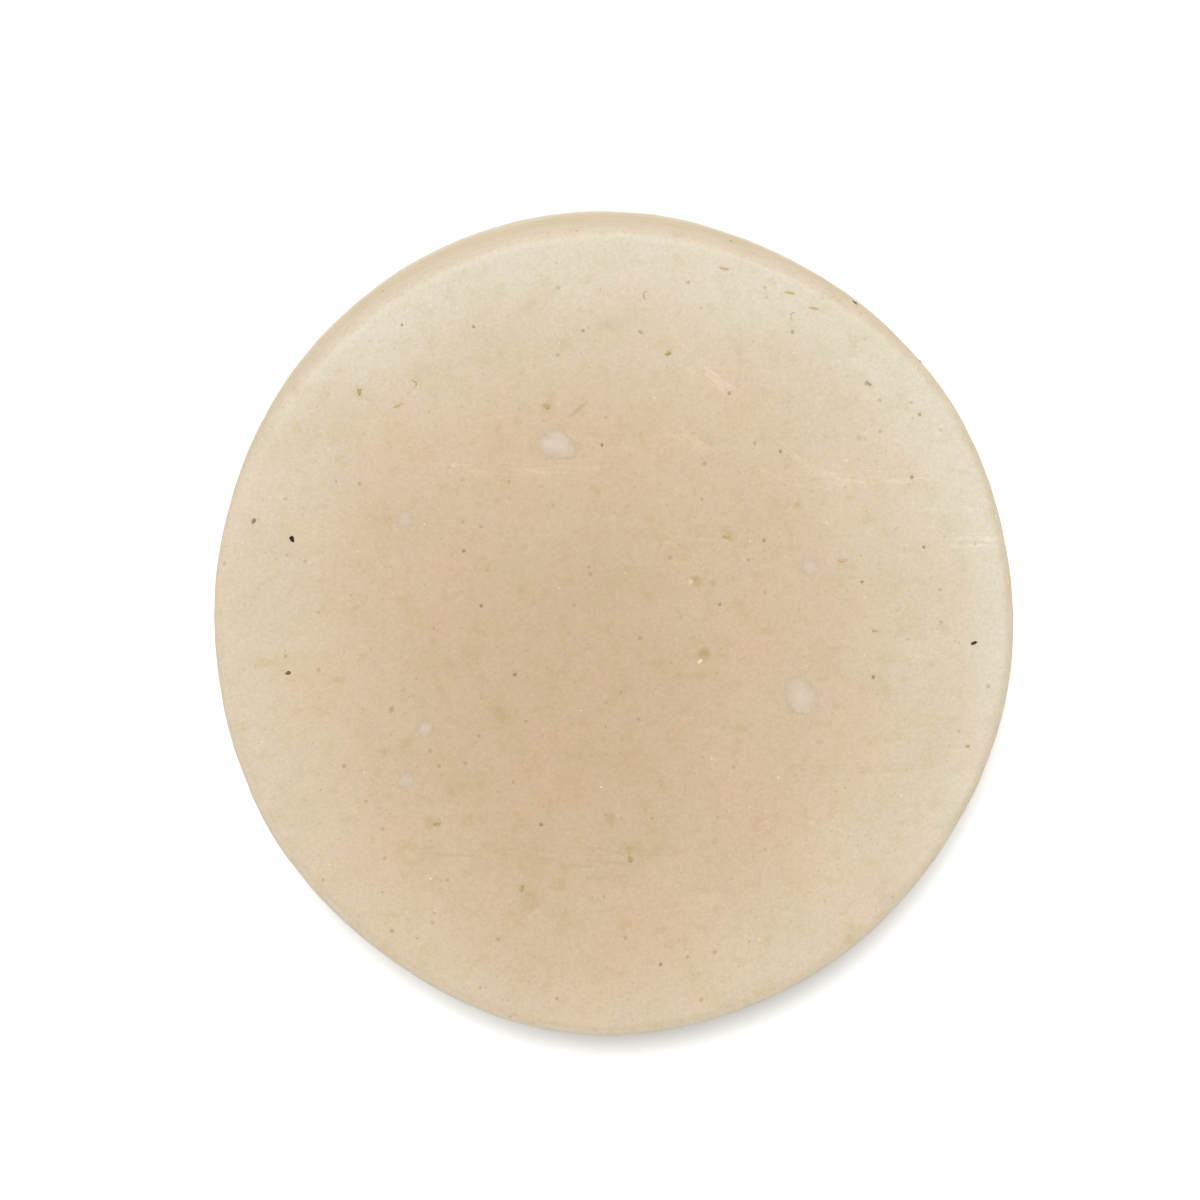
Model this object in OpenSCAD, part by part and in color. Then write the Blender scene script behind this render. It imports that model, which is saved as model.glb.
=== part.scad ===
// Shaving soap puck: a round, flat cake of cast soap that drops into a shaving mug or bowl.
//
// The puck lies flat. The origin is the middle of its bottom face, +Z points up along the
// puck's own axis, and the face that the lather brush works on is the top one.
// The soap is one casting. What was stirred into it before it set (seed grains, herb bits,
// husk flakes, fibres, salt and lumps of undissolved soap) sits flush with the surface,
// each bit in a pocket of its own shape.

/* [Puck] */
// Diameter of the puck over its side wall
puck_d = 76; // [55:1:110]
// Thickness of the puck from face to face
puck_h = 25; // [12:0.5:45]
// Rounding of the edge around the top face
top_edge_r = 1.2; // [0.4:0.1:4]
// Rounding of the edge around the bottom face
bottom_edge_r = 1.6; // [0.4:0.1:4]

/* [Grains and specks] */
// Thickness of a black or red-brown seed grain
grain_d = 0.42; // [0.25:0.01:1.2]
// Length of a black or red-brown seed grain
grain_l = 0.7; // [0.4:0.05:2]
// Diameter of a small brown speck
speck_d = 0.38; // [0.25:0.01:1]
// Diameter of a salt crystal
salt_d = 0.3; // [0.2:0.05:1]

/* [Flakes and herb bits] */
// Length of an amber husk flake
flake_l = 1; // [0.6:0.1:3]
// Width of an amber husk flake
flake_w = 0.28; // [0.2:0.02:0.8]
// Length of an olive herb bit
herb_l = 0.75; // [0.6:0.05:3]
// Width of an olive herb bit
herb_w = 0.45; // [0.3:0.05:0.8]
// How deep a flake or a herb bit goes into the soap
flake_depth = 0.25; // [0.15:0.05:1]

/* [Fibres] */
// Thickness of a curled fibre
fibre_d = 0.14; // [0.1:0.01:0.4]
// Radius that a fibre curls to, at the middle of its thickness
fibre_curl_r = 0.42; // [0.3:0.02:2]
// How far round its curl a fibre goes
fibre_sweep = 150; // [60:5:300]

/* [Soap lumps] */
// Width of the larger lobe of a white lump where it meets the surface
white_lump_d = 1.9; // [1:0.1:5]
// Width of the smaller lobe of a white lump where it meets the surface
white_lobe_d = 1.4; // [0.8:0.1:4]
// Distance between the middles of the two lobes
white_lobe_gap = 0.9; // [0.4:0.1:2]
// Depth of a white lump under the surface
white_lump_depth = 0.5; // [0.3:0.05:2]
// Width of a pink lump where it meets the surface
pink_lump_d = 0.9; // [0.6:0.1:3]
// Depth of a pink lump under the surface
pink_lump_depth = 0.35; // [0.2:0.05:1]

/* [Burst bubbles] */
// Width of the crater that a bubble left in the top face
bubble_d = 1.2; // [0.5:0.1:3]
// Depth of that crater
bubble_depth = 0.35; // [0.1:0.05:0.6]

/* [Hidden] */

// Sides of a round bit, and of the puck itself, whose large wall needs finer ones
$fn = 64;
puck_fn = 360;
puck_r = puck_d / 2;
top_face_r = puck_r - top_edge_r;
bottom_face_r = puck_r - bottom_edge_r;
wall_h = puck_h - top_edge_r - bottom_edge_r;

// A round bit's middle is this share of its thickness below the surface that trims it
sunk = 0.25;
// A flat bit is modelled this much too tall, and the surface trims it
over = 0.5;

// Spots on the top face, each [share of the flat face's radius, angle, turn of the bit]
black_top = [[0.86, 164, 118]];
red_top = [[0.93, 358, 30], [0.85, 187, 175], [0.965, 163, 60]];
brown_top = [
    [0.28, 203, 0], [0.35, 169, 0], [0.86, 278, 0], [0.475, 94, 0], [0.625, 47, 0], [0.65, 11, 0],
    [0.68, 350, 0], [0.855, 27, 0], [0.825, 15, 0], [0.675, 64, 0], [0.91, 78, 0], [0.67, 0, 0],
    [0.965, 342, 0], [0.6, 53, 0], [0.28, 14, 0], [0.44, 152, 0], [0.755, 150, 0], [0.45, 31, 0],
    [0.765, 85, 0], [0.89, 59, 0], [0.53, 249, 0], [0.855, 115, 0], [0.77, 96, 0], [0.57, 217, 0],
    [0.95, 125, 0], [0.945, 261, 0], [0.78, 206, 0], [0.965, 233, 0], [0.95, 35, 0]
];
olive_top = [
    [0.72, 79, 15], [0.61, 199, 80], [0.895, 137, 110], [0.6, 107, 150], [0.375, 40, 5],
    [0.585, 274, 85], [0.675, 227, 0], [0.9, 44, 170], [0.7, 250, 60]
];
amber_top = [[0.975, 62.4, 165], [0.97, 58, 176], [0.97, 73, 172], [0.615, 17, 8], [0.8, 134, 20]];
fibre_top = [[0.925, 60.5, 165], [0.86, 85, 170], [0.81, 129, 5]];
white_top = [[0.5, 108, 340], [0.515, 340, 110]];
pink_top = [[0.55, 207, 0], [0.66, 215, 0], [0.53, 18, 0], [0.61, 152, 0]];
salt_top = [
    [0.22, 247, 0], [0.3, 312, 0], [0.62, 21.5, 0], [0.74, 209, 0], [0.4, 265, 0], [0.645, 324, 0],
    [0.66, 176, 0], [0.845, 57, 0], [0.735, 36, 0], [0.795, 233, 0]
];
bubble_top = [[0.24, 31, 0], [0.24, 344, 0]];

// The bottom face and the side wall each have one run of evenly spread spots. A kind of bit
// takes its own numbers out of each run, so that two bits never share a spot.
bottom_spots = 34;
bottom_share = 0.93;
wall_share = 0.8;
golden_turn = 137.508;
golden_step = 0.618;
function bottom_spot(i) = [bottom_share * sqrt((i + 0.5) / bottom_spots), i * golden_turn];
function wall_height(i) = bottom_edge_r + wall_h * (0.5 + wall_share * (i * golden_step % 1 - 0.5));

// Each of these puts its child, modelled with the surface at z = 0 and the soap below it
module on_top(spots) {
    for (s = spots)
        rotate([0, 0, s[1]])
            translate([s[0] * top_face_r, 0, puck_h])
                rotate([0, 0, s[2] - s[1]])
                    children();
}
module on_bottom(picks) {
    for (i = picks)
        rotate([0, 0, bottom_spot(i)[1]])
            translate([bottom_spot(i)[0] * bottom_face_r, 0, 0])
                rotate([180, 0, i * golden_turn])
                    children();
}
module on_wall(picks) {
    for (i = picks)
        rotate([0, 0, i * golden_turn])
            translate([puck_r, 0, wall_height(i)])
                rotate([0, 90, 0])
                    rotate([0, 0, i * golden_turn])
                        children();
}

// One bit of each shape, with the surface at z = 0
module seed_grain() {
    straight = grain_l - grain_d;
    translate([0, 0, -sunk * grain_d]) rotate([0, 90, 0]) {
        cylinder(d = grain_d, h = straight, center = true);
        for (end = [-1, 1])
            translate([0, 0, end * straight / 2]) sphere(d = grain_d);
    }
}
module round_bit(d) {
    translate([0, 0, -sunk * d]) sphere(d = d);
}
module pointed_flake(l, w) {
    side_r = (l * l + w * w) / (4 * w);
    intersection_for (side = [-1, 1])
        translate([0, side * (side_r - w / 2), -flake_depth])
            cylinder(r = side_r, h = flake_depth + over);
}
module fibre() {
    translate([-fibre_curl_r, 0, -sunk * fibre_d])
        rotate([0, 0, -fibre_sweep / 2])
            rotate_extrude(angle = fibre_sweep)
                translate([fibre_curl_r, 0]) circle(d = fibre_d);
}
module bowl(d, depth) {
    ball_r = (d * d / 4 + depth * depth) / (2 * depth);
    translate([0, 0, ball_r - depth]) sphere(r = ball_r);
}
module lobed_lump() {
    bowl(white_lump_d, white_lump_depth);
    translate([white_lobe_gap, 0, 0]) bowl(white_lobe_d, white_lump_depth);
}

// All the bits of each kind, each reaching a little past the surface
module black_bits() {
    on_top(black_top) seed_grain();
    on_bottom([4, 21]) seed_grain();
    on_wall([3, 12]) seed_grain();
}
module red_brown_bits() {
    on_top(red_top) seed_grain();
    on_bottom([9, 17, 30]) seed_grain();
    on_wall([7, 16]) seed_grain();
}
module brown_bits() {
    on_top(brown_top) round_bit(speck_d);
    on_bottom([1, 6, 11, 14, 19, 24, 27, 32]) round_bit(speck_d);
    on_wall([0, 2, 5, 9, 11, 14, 18]) round_bit(speck_d);
}
module olive_bits() {
    on_top(olive_top) pointed_flake(herb_l, herb_w);
    on_bottom([3, 12, 22, 29]) pointed_flake(herb_l, herb_w);
    on_wall([4, 13]) pointed_flake(herb_l, herb_w);
}
module amber_bits() {
    on_top(amber_top) pointed_flake(flake_l, flake_w);
    on_bottom([8, 16, 31]) pointed_flake(flake_l, flake_w);
    on_wall([8, 17]) pointed_flake(flake_l, flake_w);
}
module fibre_bits() {
    on_top(fibre_top) fibre();
    on_bottom([13, 26]) fibre();
}
module white_bits() {
    on_top(white_top) lobed_lump();
    on_bottom([5, 23]) lobed_lump();
}
module pink_bits() {
    on_top(pink_top) bowl(pink_lump_d, pink_lump_depth);
    on_bottom([10, 20, 28]) bowl(pink_lump_d, pink_lump_depth);
    on_wall([10]) bowl(pink_lump_d, pink_lump_depth);
}
module salt_bits() {
    on_top(salt_top) round_bit(salt_d);
    on_bottom([0, 2, 7, 15, 18, 25, 33]) round_bit(salt_d);
    on_wall([1, 6, 15, 19]) round_bit(salt_d);
}

// The puck with no pockets. It is also what trims every bit flush with the surface.
module puck_blank() {
    rotate_extrude($fn = puck_fn) {
        square([bottom_face_r, puck_h / 2]);
        translate([0, puck_h / 2]) square([top_face_r, puck_h / 2]);
        translate([0, bottom_edge_r]) square([puck_r, wall_h]);
        translate([bottom_face_r, bottom_edge_r]) circle(r = bottom_edge_r);
        translate([top_face_r, puck_h - top_edge_r]) circle(r = top_edge_r);
    }
}
module flush() {
    intersection() {
        puck_blank();
        children();
    }
}

module soap_puck() {
    color("#dcc6a4")
        difference() {
            puck_blank();
            black_bits();
            red_brown_bits();
            brown_bits();
            olive_bits();
            amber_bits();
            fibre_bits();
            white_bits();
            pink_bits();
            salt_bits();
            on_top(bubble_top) bowl(bubble_d, bubble_depth);
        }
}
module black_grains() {
    color("#231a17") flush() black_bits();
}
module red_brown_grains() {
    color("#5a2a22") flush() red_brown_bits();
}
module brown_specks() {
    color("#8c6a4c") flush() brown_bits();
}
module olive_herb_bits() {
    color("#a39a5c") flush() olive_bits();
}
module amber_husk_flakes() {
    color("#c8954f") flush() amber_bits();
}
module curled_fibres() {
    color("#6e6355") flush() fibre_bits();
}
module white_soap_lumps() {
    color("#e2d8d2") flush() white_bits();
}
module pink_soap_lumps() {
    color("#e0c8bd") flush() pink_bits();
}
module salt_crystals() {
    color("#f3efe4") flush() salt_bits();
}

soap_puck();
black_grains();
red_brown_grains();
brown_specks();
olive_herb_bits();
amber_husk_flakes();
curled_fibres();
white_soap_lumps();
pink_soap_lumps();
salt_crystals();
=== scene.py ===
import math
import bmesh
import bpy
import numpy as np
from mathutils import Matrix, Vector, noise


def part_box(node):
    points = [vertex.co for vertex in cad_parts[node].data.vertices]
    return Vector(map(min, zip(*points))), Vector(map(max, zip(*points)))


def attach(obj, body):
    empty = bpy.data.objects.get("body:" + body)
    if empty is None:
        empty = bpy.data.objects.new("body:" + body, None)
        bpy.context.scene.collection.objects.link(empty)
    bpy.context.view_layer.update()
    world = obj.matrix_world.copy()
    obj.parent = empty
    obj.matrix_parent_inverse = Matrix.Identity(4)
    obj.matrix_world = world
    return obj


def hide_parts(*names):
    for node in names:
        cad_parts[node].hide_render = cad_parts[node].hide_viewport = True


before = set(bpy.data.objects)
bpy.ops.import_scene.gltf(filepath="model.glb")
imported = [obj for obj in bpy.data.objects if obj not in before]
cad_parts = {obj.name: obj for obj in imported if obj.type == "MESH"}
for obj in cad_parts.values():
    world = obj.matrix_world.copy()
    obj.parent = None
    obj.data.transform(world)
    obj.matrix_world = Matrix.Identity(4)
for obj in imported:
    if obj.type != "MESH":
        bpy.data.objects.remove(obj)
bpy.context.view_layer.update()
print("frame loaded")

mm = 0.001
puckLow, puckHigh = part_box("soap_puck")
puckRadius = (puckHigh.x - puckLow.x) / 2
puckHeight = puckHigh.z


def joinIn(tree, value, socket):
    # a socket gets linked, any other value is set
    if isinstance(value, bpy.types.NodeSocket):
        tree.links.new(value, socket)
    else:
        socket.default_value = value


def addNode(tree, kind, inputs=None, **settings):
    node = tree.nodes.new("ShaderNode" + kind)
    for name, value in settings.items():
        setattr(node, name, value)
    for name, value in (inputs or {}).items():
        joinIn(tree, value, node.inputs[name])
    return node


def doMath(tree, operation, first, second=0.0, clamp=False):
    return addNode(tree, "Math", {0: first, 1: second}, operation=operation, use_clamp=clamp).outputs[0]


def softStep(tree, value, low, high):
    # 0 at low and 1 at high, which may be the smaller of the two
    sockets = {"Value": value, "From Min": low, "From Max": high}
    return addNode(tree, "MapRange", sockets, interpolation_type="SMOOTHSTEP").outputs["Result"]


def blendColour(tree, share, under, over, how="MIX"):
    # this node has sockets of every kind: 0, 6 and 7 go in and 2 comes out when it mixes colours
    return addNode(tree, "Mix", {0: share, 6: under, 7: over}, data_type="RGBA", blend_type=how).outputs[2]


def pointInMm(tree):
    place = addNode(tree, "TexCoord").outputs["Object"]
    return addNode(tree, "VectorMath", {0: place, "Scale": 1 / mm}, operation="SCALE").outputs[0]


def cloudNoise(tree, point, size, detail=3.0, shift=0.0):
    # smooth noise from 0 to 1, with patches of about this size
    moved = addNode(tree, "VectorMath", {0: point, 1: (shift, -shift, 2 * shift)}, operation="ADD")
    scale = doMath(tree, "DIVIDE", 1.0, size)
    sockets = {"Vector": moved.outputs[0], "Scale": scale, "Detail": detail, "Roughness": 0.55}
    return addNode(tree, "TexNoise", sockets).outputs["Fac"]


def scatterDots(tree, point, spacing, dotSize, kept, shift=0.0):
    # round dots, one to a cell of this spacing at most, in the share of cells that is kept
    moved = addNode(tree, "VectorMath", {0: point, 1: (shift, shift / 2, -shift)}, operation="ADD")
    cells = addNode(tree, "TexVoronoi", {"Vector": moved.outputs[0], "Scale": 1 / spacing})
    luck = addNode(tree, "SeparateColor", {0: cells.outputs["Color"]})
    away = doMath(tree, "MULTIPLY", cells.outputs["Distance"], spacing)
    reach = doMath(tree, "MULTIPLY_ADD", luck.outputs[1], dotSize)
    reach.node.inputs[2].default_value = dotSize / 2
    dot = softStep(tree, away, reach, doMath(tree, "MULTIPLY", reach, 0.4))
    chosen = doMath(tree, "LESS_THAN", luck.outputs[0], kept)
    return doMath(tree, "MULTIPLY", dot, chosen)


def makeGroup(name, inputs, outputs):
    tree = bpy.data.node_groups.new(name, "ShaderNodeTree")
    for label, kind, value in inputs:
        socket = tree.interface.new_socket(label, in_out="INPUT", socket_type="NodeSocket" + kind)
        socket.default_value = value
    for label, kind in outputs:
        tree.interface.new_socket(label, in_out="OUTPUT", socket_type="NodeSocket" + kind)
    given = tree.nodes.new("NodeGroupInput").outputs
    result = tree.nodes.new("NodeGroupOutput").inputs
    return tree, given, result


def placeGroup(tree, group, values):
    return addNode(tree, "Group", values, node_tree=group).outputs


def makeFineGrain():
    # close grain that every surface here has: a mask for colour and roughness, a height for bump
    tree, given, result = makeGroup(
        "fineGrain", [("Size", "Float", 0.4), ("Contrast", "Float", 0.5)],
        [("Mask", "Float"), ("Height", "Float")],
    )
    point = pointInMm(tree)
    coarse = cloudNoise(tree, point, given["Size"], 4.0, 3.1)
    finer = cloudNoise(tree, point, doMath(tree, "MULTIPLY", given["Size"], 0.37), 2.0, 8.7)
    both = doMath(tree, "ADD", doMath(tree, "MULTIPLY", coarse, 0.6), doMath(tree, "MULTIPLY", finer, 0.4))
    swing = doMath(tree, "SUBTRACT", both, 0.5)
    swing = doMath(tree, "MULTIPLY", swing, doMath(tree, "MULTIPLY", given["Contrast"], 2.0))
    joinIn(tree, doMath(tree, "ADD", swing, 0.5, clamp=True), result["Mask"])
    joinIn(tree, both, result["Height"])
    return tree


# colours of the soap, from where it is darkest out to its rim; the paling toward the rim is painted light
# that the translucent soap lets through
soapLook = {
    "middle": (0.458, 0.339, 0.214, 1),
    "between": (0.508, 0.388, 0.262, 1),
    # outer and rim: painted light that the translucent soap lets through toward its rim
    "outer": (0.540, 0.448, 0.320, 1),
    "rim": (0.582, 0.526, 0.418, 1),
    # edge: painted light through the thin rounded edges
    "edge": (0.575, 0.495, 0.375, 1),
    "wall": (0.545, 0.425, 0.252, 1),
    # wall foot: painted bounce light from the floor
    "wallFootBounce": (0.61, 0.555, 0.43, 1),
    "pinkCloud": (1.03, 0.968, 0.965, 1),
    "oliveCloud": (0.955, 0.965, 0.90, 1),
    "darkGrain": (0.912, 0.908, 0.892, 1),
    "paleGrain": (1.045, 1.047, 1.055, 1),
    "oliveGrain": (0.945, 0.938, 0.875, 1),
    "milkyGrain": (1.035, 1.04, 1.06, 1),
    "darkest": (-4.2, -5.3, 0),  # mm from the axis
    # middle of the painted glow toward the rim, mm from the axis
    "paintedGlowMiddle": (-2.5, -3.0, 0),
    "roughness": 0.58,
    "bend": 1.46,  # index of refraction
    "glow": 0.3,  # share of the light that passes under the surface
    "glowReach": 1.6 * mm,
    "glowTint": (1.0, 0.62, 0.36),
}


def makeSoapTintAndGlow():
    # the cast soap's colour: tan where it is thick, paler and creamier to the rim as painted light that the
    # translucent soap lets through, with faint clouds
    colours = [(label, "Color", soapLook[key]) for label, key in (
        ("Middle", "middle"), ("Between", "between"), ("Outer glow", "outer"), ("Rim glow", "rim"),
        ("Edge glow", "edge"), ("Wall", "wall"), ("Wall foot bounce", "wallFootBounce"))]
    tree, given, result = makeGroup("soapTintAndGlow", colours + [("Clouds", "Float", 1.0)], [("Colour", "Color")])
    point = pointInMm(tree)
    parts = addNode(tree, "SeparateXYZ", {0: point}).outputs

    # shares of the radius from the darkest spot and from the middle of the painted glow toward the rim,
    # which wander
    low = doMath(tree, "MAXIMUM", parts[1], doMath(tree, "MULTIPLY", parts[1], 0.84))
    flat = addNode(tree, "CombineXYZ", {0: parts[0], 1: low}).outputs[0]
    drift = doMath(tree, "SUBTRACT", cloudNoise(tree, point, 13.0, 2.0, 1.7), 0.5)
    wander = doMath(tree, "MULTIPLY", drift, 9.0)

    def shareFrom(spot):
        away = addNode(tree, "VectorMath", {0: flat, 1: spot}, operation="DISTANCE").outputs["Value"]
        return doMath(tree, "DIVIDE", doMath(tree, "ADD", away, wander), puckRadius / mm)

    inner = shareFrom(soapLook["darkest"])
    # painted light: paler from the darkest spot out to the rim
    colour = blendColour(tree, softStep(tree, inner, 0.12, 0.66), given["Middle"], given["Between"])
    outer = shareFrom(soapLook["paintedGlowMiddle"])
    colour = blendColour(tree, softStep(tree, outer, 0.55, 0.85), colour, given["Outer glow"])
    colour = blendColour(tree, softStep(tree, outer, 0.82, 1.06), colour, given["Rim glow"])

    # painted light: the rounded edges and the upper wall pale as if lit through the thin soap, and the wall
    # foot pales as painted bounce light from the floor
    up = addNode(tree, "SeparateXYZ", {0: addNode(tree, "NewGeometry").outputs["Normal"]}).outputs[2]
    level = doMath(tree, "ABSOLUTE", up)
    height = doMath(tree, "DIVIDE", parts[2], puckHeight / mm)
    wallColour = blendColour(tree, softStep(tree, height, 0.40, 0.0), given["Wall"], given["Wall foot bounce"])
    upper = doMath(tree, "MULTIPLY", softStep(tree, height, 0.62, 1.0), 0.6)
    wallColour = blendColour(tree, upper, wallColour, given["Edge glow"])
    colour = blendColour(tree, softStep(tree, level, 0.99, 0.8), colour, given["Edge glow"])
    colour = blendColour(tree, softStep(tree, level, 0.7, 0.1), colour, wallColour)

    # pinkish and olive clouds over the tan
    warm = softStep(tree, cloudNoise(tree, point, 8.0, 3.0, 5.0), 0.45, 0.66)
    warm = doMath(tree, "MULTIPLY", warm, given["Clouds"])
    cool = softStep(tree, cloudNoise(tree, point, 4.5, 4.0, 21.0), 0.46, 0.68)
    cool = doMath(tree, "MULTIPLY", cool, given["Clouds"])
    warm = doMath(tree, "MULTIPLY", warm, 0.6)
    colour = blendColour(tree, warm, colour, soapLook["pinkCloud"], "MULTIPLY")
    cool = doMath(tree, "MULTIPLY", cool, 0.7)
    colour = blendColour(tree, cool, colour, soapLook["oliveCloud"], "MULTIPLY")
    joinIn(tree, colour, result["Colour"])
    return tree


def makeSoapSkin():
    # the whole plain surface of the soap: its tint with painted glow toward the rim, close mottling, and
    # cream and brown dust
    tree, given, result = makeGroup(
        "soapSkin", [("Mottling", "Float", 1.0), ("Dust", "Float", 1.0)],
        [("Colour", "Color"), ("Roughness", "Float"), ("Height", "Float")],
    )
    point = pointInMm(tree)
    colour = placeGroup(tree, soapTintAndGlow, {"Clouds": given["Mottling"]})["Colour"]
    grain = placeGroup(tree, fineGrain, {"Size": 0.34, "Contrast": 1.8})

    def shade(share, amount, tone):
        # one more tone of the mottling
        nonlocal colour
        colour = blendColour(tree, doMath(tree, "MULTIPLY", share, amount), colour, tone, "MULTIPLY")

    darkGrain = doMath(tree, "MULTIPLY", doMath(tree, "SUBTRACT", 1.0, grain["Mask"]), given["Mottling"])
    shade(darkGrain, 1.0, soapLook["darkGrain"])
    shade(doMath(tree, "MULTIPLY", grain["Mask"], given["Mottling"]), 1.0, soapLook["paleGrain"])
    olive = softStep(tree, cloudNoise(tree, point, 1.5, 4.0, 61.0), 0.5, 0.72)
    shade(doMath(tree, "MULTIPLY", olive, given["Mottling"]), 1.0, soapLook["oliveGrain"])
    milky = softStep(tree, cloudNoise(tree, point, 1.1, 3.0, 77.0), 0.55, 0.75)
    shade(doMath(tree, "MULTIPLY", milky, given["Mottling"]), 0.8, soapLook["milkyGrain"])
    for spacing, size, kept, shift, amount, tone in soapDust["dark"]:
        dots = scatterDots(tree, point, spacing, size, kept, shift)
        shade(doMath(tree, "MULTIPLY", dots, given["Dust"]), amount, tone)
    for spacing, size, kept, shift, amount, tone in soapDust["pale"]:
        dots = doMath(tree, "MULTIPLY", scatterDots(tree, point, spacing, size, kept, shift), given["Dust"])
        colour = blendColour(tree, doMath(tree, "MULTIPLY", dots, amount), colour, tone)
    joinIn(tree, colour, result["Colour"])
    rough = doMath(tree, "MULTIPLY", doMath(tree, "SUBTRACT", grain["Mask"], 0.5), 0.14)
    joinIn(tree, doMath(tree, "ADD", rough, soapLook["roughness"], clamp=True), result["Roughness"])
    joinIn(tree, grain["Height"], result["Height"])
    return tree


# spacing and size in mm, share of the cells that have a dot, shift of the pattern, strength, colour
soapDust = {
    "dark": [
        (0.62, 0.11, 0.50, 7.0, 0.6, (0.80, 0.74, 0.58, 1)),
        (1.5, 0.20, 0.35, 31.0, 0.65, (0.72, 0.62, 0.46, 1)),
        (2.6, 0.50, 0.25, 43.0, 0.5, (0.91, 0.88, 0.70, 1)),
    ],
    "pale": [
        (0.9, 0.12, 0.12, 53.0, 0.4, (0.74, 0.64, 0.50, 1)),
    ],
}


def makeDragMark():
    # a narrow band of fine lines left when the face was scraped level, as a mask for painting their relief's
    # light and shade
    inputs = [
        ("Middle", "Vector", (0, 0, 0)), ("Turn", "Float", 0.0),
        ("Length", "Float", 10.0), ("Width", "Float", 1.0),
    ]
    tree, given, result = makeGroup("dragMark", inputs, [("Mask", "Float")])
    point = pointInMm(tree)
    moved = addNode(tree, "VectorMath", {0: point, 1: given["Middle"]}, operation="SUBTRACT").outputs[0]
    sockets = {"Vector": moved, "Angle": given["Turn"]}
    turned = addNode(tree, "VectorRotate", sockets, rotation_type="Z_AXIS", invert=True)
    parts = addNode(tree, "SeparateXYZ", {0: turned.outputs[0]}).outputs
    stretched = doMath(tree, "MULTIPLY", parts[0], 0.09)
    drawn = addNode(tree, "CombineXYZ", {0: stretched, 1: parts[1], 2: given["Turn"]})
    hairs = softStep(tree, cloudNoise(tree, drawn.outputs[0], 0.36, 2.0, 9.0), 0.47, 0.62)
    half = doMath(tree, "MULTIPLY", given["Length"], 0.5)
    across = doMath(tree, "ABSOLUTE", parts[1])
    band = softStep(tree, across, given["Width"], doMath(tree, "MULTIPLY", given["Width"], 0.2))
    ends = softStep(tree, doMath(tree, "ABSOLUTE", parts[0]), half, doMath(tree, "MULTIPLY", half, 0.45))
    onTop = softStep(tree, doMath(tree, "ABSOLUTE", parts[2]), 1.0, 0.5)
    broken = softStep(tree, cloudNoise(tree, point, 2.0, 3.0, 4.0), 0.32, 0.52)
    onBand = doMath(tree, "MULTIPLY", hairs, band)
    mask = doMath(tree, "MULTIPLY", onBand, doMath(tree, "MULTIPLY", ends, onTop))
    joinIn(tree, doMath(tree, "MULTIPLY", mask, broken), result["Mask"])
    return tree


def makeRoundMark():
    # a soft round mask with a ragged edge, for stains and for the painted shade and painted glints of the
    # burst bubbles
    inputs = [("Middle", "Vector", (0, 0, 0)), ("Width", "Float", 1.0), ("Softness", "Float", 0.5)]
    tree, given, result = makeGroup("roundMark", inputs, [("Mask", "Float")])
    point = pointInMm(tree)
    away = addNode(tree, "VectorMath", {0: point, 1: given["Middle"]}, operation="DISTANCE").outputs["Value"]
    ragged = doMath(tree, "SUBTRACT", cloudNoise(tree, point, 0.9, 3.0, 12.0), 0.5)
    reach = doMath(tree, "MULTIPLY", given["Width"], 0.5)
    away = doMath(tree, "ADD", away, doMath(tree, "MULTIPLY", ragged, reach))
    inner = doMath(tree, "MULTIPLY", reach, doMath(tree, "SUBTRACT", 1.0, given["Softness"]))
    joinIn(tree, softStep(tree, away, reach, inner), result["Mask"])
    return tree


fineGrain = makeFineGrain()
soapTintAndGlow = makeSoapTintAndGlow()
soapSkin = makeSoapSkin()
dragMark = makeDragMark()
roundMark = makeRoundMark()


def newMaterial(name):
    material = bpy.data.materials.new(name)
    material.use_nodes = True
    return material, material.node_tree, material.node_tree.nodes["Principled BSDF"]


def bumpFrom(tree, height, distance, strength=1.0, under=None):
    sockets = {"Height": height, "Distance": distance, "Strength": strength}
    if under is not None:
        sockets["Normal"] = under
    return addNode(tree, "Bump", sockets).outputs[0]


def onFace(share, angle):
    # a point of the top face in metres, from its share of the radius and its angle
    turn = math.radians(angle)
    return Vector((share * puckRadius * math.cos(turn), share * puckRadius * math.sin(turn), puckHeight))


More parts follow.
